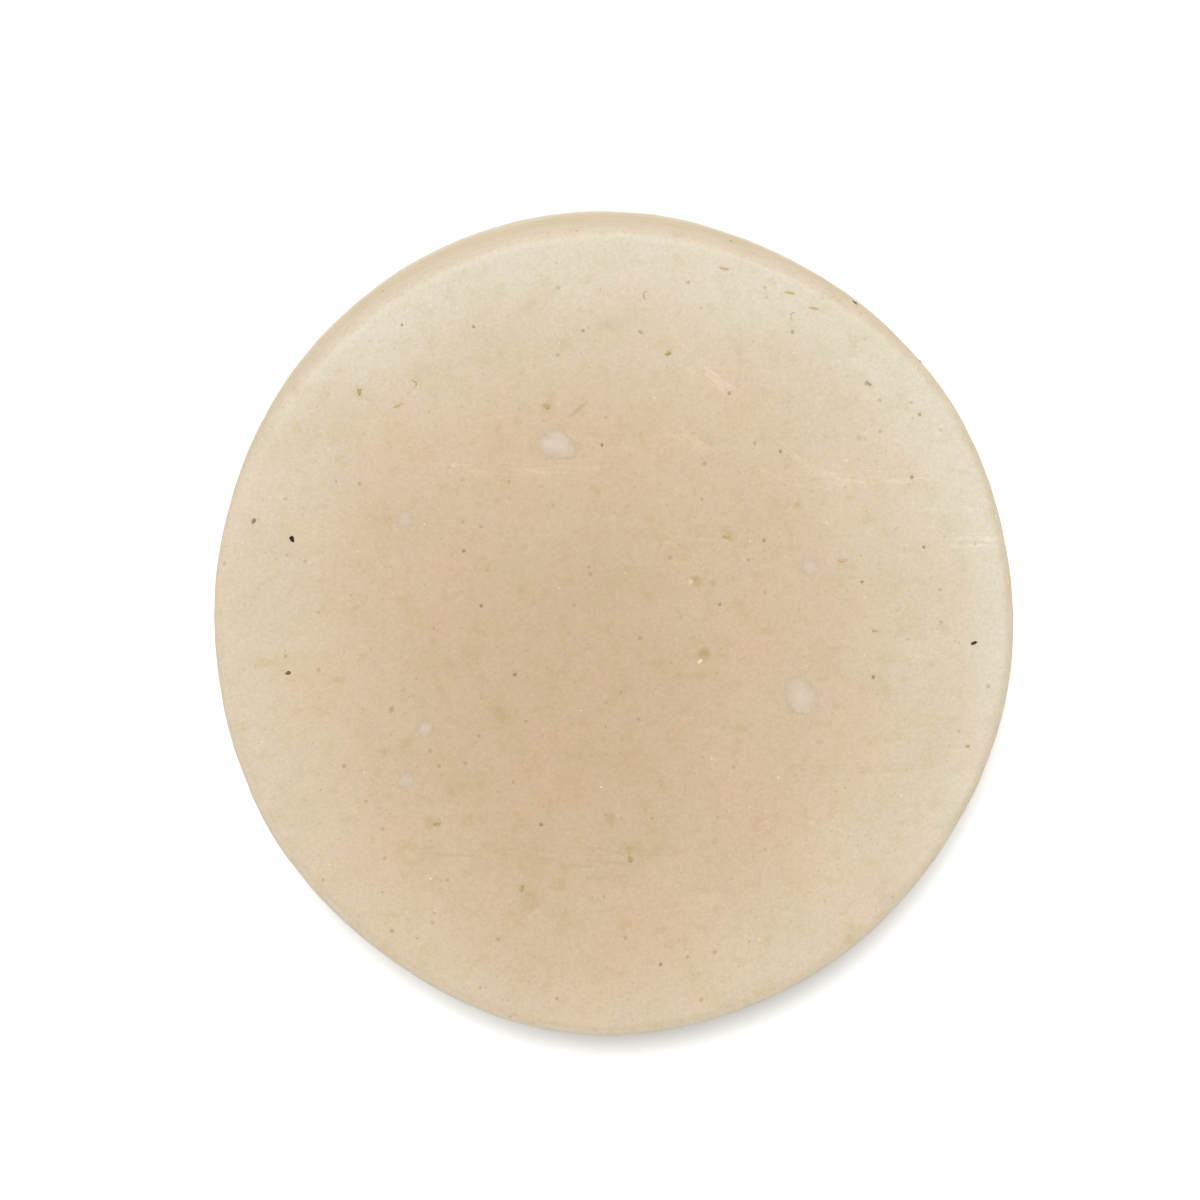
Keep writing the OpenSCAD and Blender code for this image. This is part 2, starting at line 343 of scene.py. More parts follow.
faceMarks = {
    # share of the radius, angle, turn, length and width in mm, lightness: above 0 a painted lit line, below
    # 0 a painted shaded line
    "lines": [
        (0.49, 124, -3, 15, 1.1, 0.45), (0.43, 108, -2, 14, 1.6, 0.35), (0.47, 84, -5, 14, 2.0, 0.3),
        (0.74, 31, -5, 15, 1.3, 0.7), (0.63, 36, -4, 12, 1.2, 0.35), (0.93, 14, 2, 7, 1.2, 0.9),
        (0.90, 20, -5, 6, 0.8, 0.6), (0.66, 236, -2, 15, 1.3, -0.6), (0.56, 240, -1, 9, 0.8, -0.4),
        (0.58, 264, -3, 17, 2.4, -0.5), (0.68, 70, -33, 9, 1.2, 0.7), (0.52, 70, -34, 8, 1.3, 0.5),
        (0.56, 99, 36, 3, 0.35, -0.9), (0.50, 102, -32, 5, 0.4, 0.5), (0.34, 45, -4, 12, 2.2, 0.3),
        (0.78, 356, -6, 5, 0.8, 0.6), (0.62, 47, -38, 7, 0.6, 0.4), (0.72, 318, -25, 8, 1.4, 0.3),
        (0.40, 140, -25, 9, 1.6, -0.3), (0.70, 284, 8, 10, 1.6, 0.25),
    ],
    # share of the radius, angle, width in mm, strength, colour
    "stains": [
        (0.578, 107, 2.0, 0.55, (0.87, 0.86, 0.66, 1)), (0.60, 105, 1.3, 0.4, (0.86, 0.83, 0.62, 1)),
        (0.37, 39, 1.6, 0.7, (0.88, 0.82, 0.60, 1)), (0.375, 43, 1.1, 0.6, (0.88, 0.84, 0.64, 1)),
        (0.272, 26, 0.9, 0.7, (0.86, 0.76, 0.66, 1)), (0.77, 38.5, 0.9, 0.9, (0.88, 0.77, 0.72, 1)),
        (0.76, 91, 1.6, 0.5, (0.97, 0.84, 0.78, 1)), (0.66, 226, 1.8, 0.8, (0.88, 0.85, 0.64, 1)),
        (0.47, 269, 1.5, 0.8, (0.90, 0.87, 0.66, 1)), (0.55, 274, 1.3, 0.7, (0.88, 0.84, 0.62, 1)),
        (0.70, 253, 3.4, 0.6, (0.93, 0.91, 0.78, 1)), (0.65, 258, 2.2, 0.6, (0.92, 0.89, 0.74, 1)),
        (0.35, 216, 2.0, 0.7, (0.90, 0.86, 0.68, 1)), (0.45, 183, 1.2, 0.6, (0.90, 0.87, 0.70, 1)),
        (0.63, 186, 1.5, 0.5, (0.92, 0.90, 0.76, 1)), (0.36, 190, 3.0, 0.4, (0.92, 0.88, 0.74, 1)),
        (0.60, 232, 2.4, 0.5, (0.93, 0.90, 0.74, 1)), (0.87, 185, 1.6, 0.6, (0.94, 0.86, 0.70, 1)),
        (0.40, 287, 1.2, 0.6, (0.92, 0.89, 0.72, 1)), (0.71, 79, 0.9, 0.7, (0.90, 0.88, 0.62, 1)),
        (0.86, 137, 1.0, 0.5, (0.92, 0.90, 0.72, 1)), (0.585, 16, 1.6, 0.5, (0.92, 0.88, 0.72, 1)),
    ],
    # painted glints in the burst bubbles: share of the radius, angle, width in mm
    "paintedGlints": [(0.2258, 32.9, 0.85), (0.2262, 341.3, 0.44), (0.2245, 339.9, 0.44)],
    "paintedGlintColour": (0.70, 0.55, 0.39, 1),
    # the burst bubbles' darker olive ring: olive tint with painted shade of the hollow
    "bubbleShadeRing": (0.86, 0.82, 0.65, 1),
    "shadeRingWidth": 1.75,  # times the bubble's own width
    # painted light and painted shade of the scraped lines' relief
    "paintedLitLine": (1.17, 1.18, 1.21, 1),
    "paintedShadeLine": (0.86, 0.845, 0.77, 1),
}


def finishSoap(tree, shader, point, skin, colour):
    # what every soap surface shares: its roughness, a slow swell under the grain, and light inside it
    joinIn(tree, colour, shader.inputs["Base Color"])
    joinIn(tree, skin["Roughness"], shader.inputs["Roughness"])
    swell = bumpFrom(tree, cloudNoise(tree, point, 1.6, 3.0, 15.0), 0.035 * mm, 0.6)
    joinIn(tree, bumpFrom(tree, skin["Height"], 0.02 * mm, 0.7, swell), shader.inputs["Normal"])
    shader.inputs["IOR"].default_value = soapLook["bend"]
    shader.inputs["Subsurface Weight"].default_value = soapLook["glow"]
    shader.inputs["Subsurface Radius"].default_value = soapLook["glowTint"]
    shader.inputs["Subsurface Scale"].default_value = soapLook["glowReach"]


def makeSoapMaterial():
    material, tree, shader = newMaterial("castSoap")
    point = pointInMm(tree)
    skin = placeGroup(tree, soapSkin, {"Mottling": 1.0, "Dust": 1.0})
    colour = skin["Colour"]

    # stains under the surface, a darker olive ring over each burst bubble that is partly painted shade of
    # its hollow, and a painted glint in each bubble
    stains = list(faceMarks["stains"])
    for share, angle, width in soapCake["bubbles"]:
        stains.append((share, angle, width * faceMarks["shadeRingWidth"], 1.0, faceMarks["bubbleShadeRing"]))
    for share, angle, width, strength, markColour in stains:
        middle = onFace(share, angle) / mm
        mask = placeGroup(tree, roundMark, {"Middle": middle, "Width": width, "Softness": 0.75})["Mask"]
        colour = blendColour(tree, doMath(tree, "MULTIPLY", mask, strength), colour, markColour, "MULTIPLY")
    # painted glints: cream highlights in the burst bubbles
    for share, angle, width in faceMarks["paintedGlints"]:
        middle = onFace(share, angle) / mm
        mask = placeGroup(tree, roundMark, {"Middle": middle, "Width": width, "Softness": 0.8})["Mask"]
        colour = blendColour(tree, mask, colour, faceMarks["paintedGlintColour"])

    # scraped lines, painted as the light and shade of their fine relief
    for share, angle, turn, length, width, light in faceMarks["lines"]:
        values = {"Middle": onFace(share, angle) / mm, "Turn": math.radians(turn)}
        mask = placeGroup(tree, dragMark, {**values, "Length": length, "Width": width})["Mask"]
        shade = faceMarks["paintedLitLine" if light > 0 else "paintedShadeLine"]
        colour = blendColour(tree, doMath(tree, "MULTIPLY", mask, abs(light)), colour, shade, "MULTIPLY")
    finishSoap(tree, shader, point, skin, colour)
    return material


# sizes of the cake in metres
soapCake = {
    "faceCells": 196,
    "topEdge": 1.2 * mm,
    "bottomEdge": 1.6 * mm,
    "edgeRings": 7,
    "wallRings": 26,
    "stretchX": 0.991,
    "stretchY": 1.009,
    # waves of the outline: how many go round, height as a share of the radius, angle of one crest
    "outline": [
        (3, 0.0078, 28), (4, 0.002, 9), (5, 0.0014, -31),
        (6, 0.0022, -26), (7, 0.0012, -3), (8, 0.0018, -10),
    ],
    "dish": 0.08 * mm,
    "slowSwell": 0.05 * mm,
    "fineSwell": 0.014 * mm,
    "wallSwell": 0.05 * mm,
    "bubbles": [(0.2335, 31.5, 1.1), (0.228, 345.1, 1.0)],  # share of the radius, angle, width in mm
    "bubbleDepth": 0.1 * mm,
    # zone, how many pits, and how deep they are against the usual
    "pits": [("top", 170, 0.6), ("floor", 90, 1.5), ("wall", 120, 1.5)],
    "pitWidth": (0.7, 1.3),  # mm
    "pitDepth": (0.02, 0.07),  # mm, the usual
    "chipDepth": 0.2 * mm,
}


def discGrid(cells):
    # a square grid pressed into a unit disc, so that its cells stay even
    line = np.linspace(-1, 1, cells + 1)
    a, b = np.meshgrid(line, line)
    wide = np.abs(a) > np.abs(b)
    reach = np.where(wide, a, b)
    safe = np.where(reach == 0, 1, reach)
    turn = np.where(wide, math.pi / 4 * b / safe, math.pi / 2 - math.pi / 4 * a / safe)
    return (reach * np.cos(turn)).ravel(), (reach * np.sin(turn)).ravel()


def rimOrder(cells):
    # numbers of the grid's outer vertices, once round
    side = cells + 1
    bottom = [i for i in range(cells)]
    right = [cells + side * i for i in range(cells)]
    top = [side * cells + cells - i for i in range(cells)]
    left = [side * (cells - i) for i in range(cells)]
    return bottom + right + top + left


def cakeProfile():
    # radius and height of each ring down the side, from below the top face to above the bottom one
    edge, foot = soapCake["topEdge"], soapCake["bottomEdge"]
    rings = []
    for i in range(1, soapCake["edgeRings"] + 1):
        turn = math.pi / 2 * i / soapCake["edgeRings"]
        rings.append((puckRadius - edge + edge * math.sin(turn), puckHeight - edge + edge * math.cos(turn)))
    for i in range(1, soapCake["wallRings"]):
        share = i / soapCake["wallRings"]
        rings.append((puckRadius, (puckHeight - edge) * (1 - share) + foot * share))
    for i in range(soapCake["edgeRings"]):
        turn = math.pi / 2 * i / soapCake["edgeRings"]
        rings.append((puckRadius - foot + foot * math.cos(turn), foot - foot * math.sin(turn)))
    return rings


def buildCakeGrid():
    cells = soapCake["faceCells"]
    x, y = discGrid(cells)
    rim = rimOrder(cells)
    faceRadius = puckRadius - soapCake["topEdge"]
    footRadius = puckRadius - soapCake["bottomEdge"]
    top = np.stack([x * faceRadius, y * faceRadius, np.full(len(x), puckHeight)], 1)
    bottom = np.stack([x * footRadius, y * footRadius, np.zeros(len(x))], 1)
    ringX, ringY = x[rim], y[rim]
    rings = [np.stack([ringX * r, ringY * r, np.full(len(rim), z)], 1) for r, z in cakeProfile()]
    points = np.concatenate([top, bottom] + rings)

    faces = []
    side = cells + 1
    under = len(top)
    for j in range(cells):
        for i in range(cells):
            a = j * side + i
            b, c, d = a + 1, a + 1 + side, a + side
            faces.append((a, b, c, d))
            faces.append((under + d, under + c, under + b, under + a))
    loops = [rim]
    for k in range(len(rings)):
        start = 2 * under + k * len(rim)
        loops.append([start + i for i in range(len(rim))])
    loops.append([under + i for i in rim])
    for upper, lower in zip(loops, loops[1:]):
        for i in range(len(rim)):
            j = (i + 1) % len(rim)
            faces.append((upper[j], upper[i], lower[i], lower[j]))
    return points, faces


def noiseAt(points, size, shift, octaves=3):
    # smooth noise from about -1 to 1, with lumps of this size
    move = Vector((shift, 2 * shift, -shift))
    return np.array([noise.fractal(Vector(p) / size + move, 1.0, 2.0, octaves) for p in points])


def outlineScale(turn):
    total = np.zeros(len(turn))
    for count, share, angle in soapCake["outline"]:
        total += share * np.cos(count * (turn - math.radians(angle)))
    return total


def bowlDepth(away, width, depth):
    # a round hollow with a low lip
    share = away / (width / 2)
    hollow = np.clip(1 - share**2, 0, None) * depth
    lip = np.exp(-((share - 1.15) / 0.22) ** 2) * depth * 0.18
    return lip - hollow


def shapeCake(points):
    dice = np.random.default_rng(7)
    x, y, z = points.T
    away = np.hypot(x, y)
    turn = np.arctan2(y, x)
    share = away / puckRadius
    onTop = z > puckHeight - 0.02 * mm
    under = z < 0.02 * mm
    onWall = ~onTop & ~under

    # outward direction of the plain cake at each point
    normal = np.zeros_like(points)
    normal[onTop, 2] = 1
    normal[under, 2] = -1
    edge, foot = soapCake["topEdge"], soapCake["bottomEdge"]
    climb = np.clip((z - (puckHeight - edge)) / edge, 0, 1) - np.clip((foot - z) / foot, 0, 1)
    level = np.sqrt(np.clip(1 - climb**2, 0, 1))
    normal[onWall, 0] = (np.cos(turn) * level)[onWall]
    normal[onWall, 1] = (np.sin(turn) * level)[onWall]
    normal[onWall, 2] = climb[onWall]

    push = np.zeros(len(points))
    push += soapCake["slowSwell"] * noiseAt(points, 11 * mm, 2.0, 2)
    push += soapCake["fineSwell"] * noiseAt(points, 2.6 * mm, 5.0, 3)
    push[onTop] -= soapCake["dish"] * (1 - share[onTop] ** 2)
    push[onWall] += soapCake["wallSwell"] * noiseAt(points[onWall] * (1, 1, 0.3), 3.2 * mm, 11.0, 3)

    # burst bubbles, then small pits on each face and on the wall
    for bubbleShare, angle, width in soapCake["bubbles"]:
        gap = np.linalg.norm(points - np.array(onFace(bubbleShare, angle)), axis=1)
        near = gap < 1.5 * width * mm
        push[near] += bowlDepth(gap[near], width * mm, soapCake["bubbleDepth"])
    for zone, count, deeper in soapCake["pits"]:
        for i in range(count):
            # each pit draws all five values, whichever of them its zone needs
            spin = dice.uniform(0, 2 * math.pi)
            reach = puckRadius * 0.95 * math.sqrt(dice.uniform(0, 1))
            wallHeight = dice.uniform(0.1, 0.92) * puckHeight
            width = dice.uniform(*soapCake["pitWidth"]) * mm
            depth = dice.uniform(*soapCake["pitDepth"]) * mm * deeper
            height = {"top": puckHeight, "floor": 0.0, "wall": wallHeight}[zone]
            if zone == "wall":
                reach = puckRadius
            middle = np.array([reach * math.cos(spin), reach * math.sin(spin), height])
            gap = np.abs(points - middle).max(axis=1)
            near = np.nonzero(gap < width)[0]
            gap = np.linalg.norm(points[near] - middle, axis=1)
            push[near] += bowlDepth(gap, width, depth)

    # nicks along the two rims, most of them to the front
    rimPoints = np.abs(climb) * onWall + (share > 0.95) * (onTop | under)
    rough = np.clip(noiseAt(points, 1.5 * mm, 31.0, 3) - 0.28, 0, 1)
    chips = rough * rimPoints * (0.6 - 0.4 * np.sin(turn))
    push -= soapCake["chipDepth"] * chips

    moved = points + normal * push[:, None]
    moved[under, 2] = np.clip(-push[under], 0, None)
    scale = 1 + outlineScale(turn) * np.clip(share, 0, 1) ** 3
    moved[:, 0] *= scale * soapCake["stretchX"]
    moved[:, 1] *= scale * soapCake["stretchY"]
    return moved


def addPiece(name, data, material, smooth=True):
    data.polygons.foreach_set("use_smooth", [smooth] * len(data.polygons))
    data.materials.append(material)
    piece = bpy.data.objects.new(name, data)
    bpy.context.scene.collection.objects.link(piece)
    return piece


def makeCake():
    points, faces = buildCakeGrid()
    data = bpy.data.meshes.new("soapCake")
    data.from_pydata([tuple(p) for p in shapeCake(points)], [], faces)
    data.update()
    settle(addPiece("soapCake", data, makeSoapMaterial()), "soap_puck")
    print("soap cake made,", len(faces), "faces")


def settle(piece, node):
    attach(piece, "root")
    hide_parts(node)


makeCake()


def bitsOf(node):
    # each loose bit of a CAD node, as describeBit gives it
    mesh = bmesh.new()
    mesh.from_mesh(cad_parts[node].data)
    bmesh.ops.remove_doubles(mesh, verts=mesh.verts, dist=0.0001 * mm)
    mesh.verts.ensure_lookup_table()
    mesh.verts.index_update()
    seen = [False] * len(mesh.verts)
    bits = []
    for first in range(len(seen)):
        if seen[first]:
            continue
        seen[first] = True
        found = [first]
        for index in found:
            for link in mesh.verts[index].link_edges:
                other = link.other_vert(mesh.verts[index]).index
                if not seen[other]:
                    seen[other] = True
                    found.append(other)
        bits.append(describeBit(np.array([mesh.verts[i].co for i in found])))
    mesh.free()
    return bits


def describeBit(points):
    # its seat on the plain surface, its outward, long and side directions, its points, and its sizes
    middle = (points.min(0) + points.max(0)) / 2
    out = np.array([middle[0], middle[1], 0.0])
    out /= np.linalg.norm(out)
    wall = np.hypot(points[:, 0], points[:, 1]).max() > puckRadius - 0.06 * mm
    if points[:, 2].max() > puckHeight - 0.06 * mm:
        out = np.array([0.0, 0.0, 1.0])
    elif points[:, 2].min() < 0.06 * mm and not wall:
        out = np.array([0.0, 0.0, -1.0])
    spread = points - points.mean(0)
    spread = spread - np.outer(spread @ out, out)
    along = np.linalg.svd(spread, full_matrices=False)[2][0]
    along = along - out * (along @ out)
    along /= np.linalg.norm(along)
    side = np.cross(out, along)
    seat = middle + out * ((points @ out).max() - middle @ out)
    if abs(out[2]) > 0.5:
        seat[2] = puckHeight if out[2] > 0 else 0.0
    return {
        "seat": seat, "out": out, "along": along, "side": side, "points": points,
        "length": np.ptp(points @ along), "width": np.ptp(points @ side), "depth": np.ptp(points @ out),
    }


def overBit(bit, flat):
    # points of the shaped cake's surface at these flat coordinates of a bit
    spots = bit["seat"] + np.outer(flat[:, 0], bit["along"]) + np.outer(flat[:, 1], bit["side"])
    if abs(bit["out"][2]) < 0.5:
        spots[:, :2] *= (puckRadius / np.hypot(spots[:, 0], spots[:, 1]))[:, None]
    return shapeCake(spots)


def bitMatrix(bit, sink):
    # local X along the bit, Z out of the soap, and the origin this far under the surface
    spot = overBit(bit, np.zeros((1, 2)))[0] - bit["out"] * sink
    turn = Matrix((bit["along"], bit["side"], bit["out"])).transposed()
    return Matrix.Translation(spot) @ turn.to_4x4()


def addNugget(mesh, place, size, ragged, shift, detail=3):
    made = bmesh.ops.create_icosphere(mesh, subdivisions=detail, radius=1.0)["verts"]
    for vert in made:
        way = vert.co.normalized()
        bump = 1 + ragged * noise.fractal(way * 1.3 + Vector((shift, 0, -shift)), 1.0, 2.0, 3)
        bump -= ragged * 0.4 * abs(noise.noise(way * 3.1 + Vector((0, shift, shift))))
        vert.co = place @ Vector((way.x * size[0] * bump, way.y * size[1] * bump, way.z * size[2] * bump))
    return made


def addLens(mesh, bit, size, ragged, shift, rings, spokes, lift, edgeLayer=None):
    # a closed lens of ragged outline laid on the soap; the layer holds 0 in its middle and 1 at its edge
    turns = 2 * math.pi * np.arange(spokes) / spokes
    spots = [Vector((math.cos(turn) + shift, math.sin(turn), shift)) for turn in turns]
    outline = np.array([1 + ragged * noise.fractal(spot, 1.0, 2.0, 3) for spot in spots])
    shares = np.repeat(np.arange(rings + 1) / rings, spokes)
    flat = np.stack([
        shares * np.tile(outline * np.cos(turns), rings + 1) * size[0],
        shares * np.tile(outline * np.sin(turns), rings + 1) * size[1],
    ], 1)
    ground = overBit(bit, flat)
    layers = []
    for side in (1, -1):
        heights = lift(shares) if side > 0 else lift(np.ones(1))[0] - size[2] * (1 - shares**2)
        spots = ground + np.outer(heights, bit["out"])
        verts = [mesh.verts.new(spots[0])]
        last = (rings + 1 if side > 0 else rings) * spokes
        verts += [mesh.verts.new(point) for point in spots[spokes:last]]
        if edgeLayer is not None:
            for vert, share in zip(verts[1:], shares[spokes:]):
                vert[edgeLayer] = share
        layers.append(verts)
    layers[1] += layers[0][-spokes:]
    for side, verts in zip((1, -1), layers):
        for j in range(spokes):
            after = (j + 1) % spokes
            face = [verts[0], verts[1 + j], verts[1 + after]]
            mesh.faces.new(face if side > 0 else face[::-1])
            for k in range(rings - 1):
                one, two = 1 + k * spokes, 1 + (k + 1) * spokes
                face = [verts[one + j], verts[two + j], verts[two + after], verts[one + after]]
                mesh.faces.new(face if side > 0 else face[::-1])


def addHusk(mesh, place, size, curl, shift, steps=18, across=6):
    # a pointed, slightly cupped flake with a rib down its middle
    def spot(u, v, side):
        half = size[1] * (1 - abs(u) ** 2.2) ** 0.8 * (1 + 0.12 * noise.noise(Vector((u * 3, v, shift))))
        arch = curl * size[0] * (1 - u * u) * 0.18
        rib = size[2] * 0.5 * math.exp(-((v / 0.22) ** 2))
        cup = size[2] * 0.8 * v * v
        lift = arch + cup + rib * (side > 0) + side * size[2] * 0.35 * (1 - v * v)
        return place @ Vector((u * size[0], v * half + 0.35 * size[1] * math.sin(2.2 * u + shift), lift))

    grid = {}
    for side in (1, -1):
        for i in range(1, steps):
            u = -1 + 2 * i / steps
            for j in range(across + 1):
                v = -1 + 2 * j / across
                if side < 0 and j in (0, across):
                    grid[side, i, j] = grid[1, i, j]
                else:
                    grid[side, i, j] = mesh.verts.new(spot(u, v, side))
    tips = [mesh.verts.new(spot(-1, 0, 0)), mesh.verts.new(spot(1, 0, 0))]
    for side in (1, -1):
        for j in range(across):
            for i in range(1, steps - 1):
                corners = ((i, j), (i + 1, j), (i + 1, j + 1), (i, j + 1))
                face = [grid[side, a, b] for a, b in corners]
                mesh.faces.new(face if side > 0 else face[::-1])
            first = [tips[0], grid[side, 1, j], grid[side, 1, j + 1]]
            last = [grid[side, steps - 1, j], tips[1], grid[side, steps - 1, j + 1]]
            mesh.faces.new(first if side > 0 else first[::-1])
            mesh.faces.new(last if side > 0 else last[::-1])


def addFibre(mesh, bit, thick, shift, steps=40, sides=8):
    # a hair that follows the curl of the CAD one, thinning and wandering to its ends
    place = bitMatrix(bit, 0.0)
    spread = bit["points"] - bit["seat"]
    flat = np.stack([spread @ bit["along"], spread @ bit["side"]], 1)
    known = np.column_stack([2 * flat, np.ones(len(flat))])
    cx, cy, rest = np.linalg.lstsq(known, (flat**2).sum(1), rcond=None)[0]
    curl = math.sqrt(rest + cx * cx + cy * cy)
    middle = flat.mean(0) - (cx, cy)
    facing = math.atan2(middle[1], middle[0])
    angles = (np.arctan2(flat[:, 1] - cy, flat[:, 0] - cx) - facing + math.pi) % (2 * math.pi) - math.pi
    low, high = angles.min(), angles.max()
    rings = []
    for i in range(steps + 1):
        share = i / steps
        turn = facing + low + (high - low) * share
        reach = curl * (1 + 0.10 * math.sin(3.3 * share * math.pi + shift))
        lift = thick * (0.35 + 0.5 * math.sin(share * math.pi * 2 + shift))
        middlePoint = Vector((cx + reach * math.cos(turn), cy + reach * math.sin(turn), lift))
        out = Vector((math.cos(turn), math.sin(turn), 0))
        slim = thick * (0.45 + 0.55 * math.sin(math.pi * min(max(share, 0.04), 0.96)) ** 0.6)
        ring = []
        for k in range(sides):
            spin = 2 * math.pi * k / sides
            up = Vector((0, 0, slim * math.sin(spin)))
            ring.append(mesh.verts.new(place @ (middlePoint + out * slim * math.cos(spin) + up)))
        rings.append(ring)
    for one, two in zip(rings, rings[1:]):
        for k in range(sides):
            after = (k + 1) % sides
            mesh.faces.new([one[k], one[after], two[after], two[k]])
    mesh.faces.new(rings[0][::-1])
    mesh.faces.new(rings[-1])


def addCrystal(mesh, place, size, dice):
    # a small angular crystal: the hull of a few scattered corners
    corners = []
    for i in range(14):
        way = Vector(dice.normal(size=3)).normalized()
        corners.append(mesh.verts.new(place @ Vector((way.x * size[0], way.y * size[1], way.z * size[2]))))
    made = bmesh.ops.convex_hull(mesh, input=corners)
    loose = [v for v in made["geom_interior"] if isinstance(v, bmesh.types.BMVert)]
    bmesh.ops.delete(mesh, geom=loose, context="VERTS")


def finishBits(name, mesh, material, smooth=True):
    bmesh.ops.recalc_face_normals(mesh, faces=mesh.faces)
    data = bpy.data.meshes.new(name)
    mesh.to_mesh(data)
    mesh.free()
    return addPiece(name, data, material, smooth)


def plainBitMaterial(name, look):
    # a natural bit: two of its own tones by fine grain, with the soap's film over part of it
    material, tree, shader = newMaterial(name)
    grain = placeGroup(tree, fineGrain, {"Size": look["grain"], "Contrast": 1.6})
    colour = blendColour(tree, grain["Mask"], look["dark"], look["light"])
    if "tones" in look:
        own = addNode(tree, "Attribute", attribute_name="tone").outputs["Fac"]
        colour = blendColour(tree, own, colour, look["faded"])
    patches = cloudNoise(tree, pointInMm(tree), 0.5, 3.0, 40.0)
    film = softStep(tree, patches, look["filmFrom"], look["filmFrom"] + 0.2)
    tint = placeGroup(tree, soapTintAndGlow, {"Clouds": 1.0})["Colour"]
    colour = blendColour(tree, doMath(tree, "MULTIPLY", film, look["film"]), colour, tint)
    joinIn(tree, colour, shader.inputs["Base Color"])
    rough = doMath(tree, "MULTIPLY", doMath(tree, "SUBTRACT", grain["Mask"], 0.5), 0.25)
    joinIn(tree, doMath(tree, "ADD", rough, look["roughness"], clamp=True), shader.inputs["Roughness"])
    joinIn(tree, bumpFrom(tree, grain["Height"], 0.02 * mm, 0.6), shader.inputs["Normal"])
    shader.inputs["Specular IOR Level"].default_value = 0.2
    return material


# tones are how far each bit is faded, from 0 to 1, and start again when they run out
blackGrains = {
    "dark": (0.004, 0.002, 0.001, 1), "light": (0.022, 0.010, 0.005, 1), "faded": (0.10, 0.05, 0.03, 1),
    "grain": 0.15, "film": 0.1, "filmFrom": 0.62, "roughness": 0.6,
    "ragged": 0.25, "proud": 0.5, "spread": 0.56,
    "tones": [0.0, 0.3],
}
redBrownGrains = {
    "dark": (0.030, 0.005, 0.002, 1), "light": (0.10, 0.018, 0.005, 1), "faded": (0.30, 0.20, 0.12, 1),
    "grain": 0.15, "film": 0.1, "filmFrom": 0.6, "roughness": 0.7,
    "ragged": 0.28, "proud": 0.5, "spread": 0.5,
    "tones": [0.9, 0.4, 0.0, 0.3, 0.1],
}
brownSpecks = {
    "dark": (0.14, 0.08, 0.035, 1), "light": (0.25, 0.155, 0.075, 1), "faded": (0.42, 0.305, 0.165, 1),
    "grain": 0.2, "film": 0.55, "filmFrom": 0.48, "roughness": 0.6,
    "ragged": 0.35, "proud": 0.45, "spread": 0.54,
    "tones": [
        1.0, 0.95, 1.0, 1.0, 0.85, 0.55, 1.0, 0.55, 0.5, 0.55, 1.0, 1.0, 0.35, 0.8, 0.55,
        0.7, 0.4, 1.0, 0.8, 0.6, 0.55, 1.0, 0.8, 0.55, 0.95, 0.9, 1.0, 0.7, 1.0,
    ],
}


def topFirst(bits):
    # bits of the top face first, then the wall and the bottom, each in order along X and Y
    def rank(bit):
        return -round(bit["out"][2]), round(bit["seat"][0], 6), round(bit["seat"][1], 6)

    return sorted(bits, key=rank)


# on the bottom face a grain stands out by about this share of its half height
proudBelow = 0.08


def makeGrains(name, node, look, seed):
    mesh = bmesh.new()
    layer = mesh.verts.layers.float.new("tone")
    for number, bit in enumerate(topFirst(bitsOf(node))):
        half = (bit["length"] * look["spread"], bit["width"] * look["spread"], bit["depth"] * 0.6)
        proud = look["proud"] if bit["out"][2] > -0.5 else proudBelow
        place = bitMatrix(bit, half[2] * (1 - proud))
        for vert in addNugget(mesh, place, half, look["ragged"], seed + 3.7 * number):
            vert[layer] = look["tones"][number % len(look["tones"])]
    piece = finishBits(name, mesh, plainBitMaterial(name, look))
    settle(piece, node)


makeGrains("blackGrains", "black_grains", blackGrains, 1.0)
makeGrains("redBrownGrains", "red_brown_grains", redBrownGrains, 50.0)
makeGrains("brownSpecks", "brown_specks", brownSpecks, 90.0)
print("grains made")

oliveBits = {
    "dark": (0.24, 0.18, 0.055, 1), "light": (0.42, 0.34, 0.15, 1), "grain": 0.3,
    "film": 0.6, "filmFrom": 0.42, "roughness": 0.55,
    "ragged": 0.5, "thick": 0.07 * mm, "proud": 0.02 * mm,
}
amberHusks = {
    "dark": (0.40, 0.25, 0.085, 1), "light": (0.60, 0.44, 0.21, 1), "grain": 0.25,
    "film": 0.45, "filmFrom": 0.52, "roughness": 0.5,
    "thick": 0.06 * mm, "proud": 0.035 * mm,
}
fibreLook = {
    "dark": (0.20, 0.17, 0.12, 1), "light": (0.36, 0.31, 0.235, 1), "grain": 0.2,
    "film": 0.85, "filmFrom": 0.38, "roughness": 0.6,
    "thick": 0.038 * mm,
}


def liftOlive(share):
    return oliveBits["proud"] * (1.3 - 2.0 * share**3)


def makeOliveBits():
    mesh = bmesh.new()
    for number, bit in enumerate(bitsOf("olive_herb_bits")):
        size = (bit["length"] * 0.55, bit["width"] * 0.55, oliveBits["thick"])
        addLens(mesh, bit, size, oliveBits["ragged"], 5.0 + number, 5, 24, liftOlive)
    piece = finishBits("oliveHerbBits", mesh, plainBitMaterial("oliveHerb", oliveBits))
    settle(piece, "olive_herb_bits")


def makeAmberHusks():
    mesh = bmesh.new()
    for number, bit in enumerate(bitsOf("amber_husk_flakes")):
        place = bitMatrix(bit, amberHusks["thick"] - amberHusks["proud"])
        size = (bit["length"] * 0.52, bit["width"] * 0.36, amberHusks["thick"])
        addHusk(mesh, place, size, 1 if number % 2 else 0.6, 2.0 * number)
    piece = finishBits("amberHuskFlakes", mesh, plainBitMaterial("amberHusk", amberHusks))
    settle(piece, "amber_husk_flakes")


